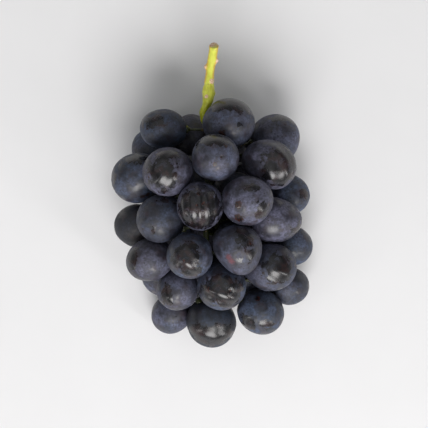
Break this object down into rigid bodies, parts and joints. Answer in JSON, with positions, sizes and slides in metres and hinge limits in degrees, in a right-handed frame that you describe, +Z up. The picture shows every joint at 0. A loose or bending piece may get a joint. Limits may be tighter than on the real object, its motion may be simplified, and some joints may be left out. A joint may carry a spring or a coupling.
{
  "type": "bunch of grapes",
  "caption": "Bunch of large black table grapes lying on its side: round berries with a pale bloom, pressed round a green branching stem with a cut stalk.",
  "frame": {"origin": "on the table, under the middle of the bunch's bounding box", "axes": "+Z up from the table, +Y along the bunch towards the cut end of its stalk, +X across the bunch"},
  "size_m": [0.129, 0.1942, 0.0853],
  "materials": {
    "grape_skin": "waxy bloom over a dark, smooth skin",
    "green_stem": "fresh green, slightly ribbed"
  },
  "bodies": {
    "root": {"berry_01": "grape_skin", "berry_02": "grape_skin", "berry_03": "grape_skin", "berry_04": "grape_skin", "berry_05": "grape_skin", "berry_06": "grape_skin", "berry_07": "grape_skin", "berry_08": "grape_skin", "berry_09": "grape_skin", "berry_10": "grape_skin", "berry_11": "grape_skin", "berry_12": "grape_skin", "berry_13": "grape_skin", "berry_14": "grape_skin", "berry_15": "grape_skin", "berry_16": "grape_skin", "berry_17": "grape_skin", "berry_18": "grape_skin", "berry_19": "grape_skin", "berry_20": "grape_skin", "berry_21": "grape_skin", "berry_22": "grape_skin", "berry_23": "grape_skin", "berry_24": "grape_skin", "berry_25": "grape_skin", "berry_26": "grape_skin", "berry_27": "grape_skin", "berry_28": "grape_skin", "berry_29": "grape_skin", "berry_30": "grape_skin", "berry_31": "grape_skin", "berry_32": "grape_skin", "berry_33": "grape_skin", "berry_34": "grape_skin", "berry_35": "grape_skin", "berry_36": "grape_skin", "berry_37": "grape_skin", "berry_38": "grape_skin", "stem": "green_stem"}
  },
  "joints": []
}
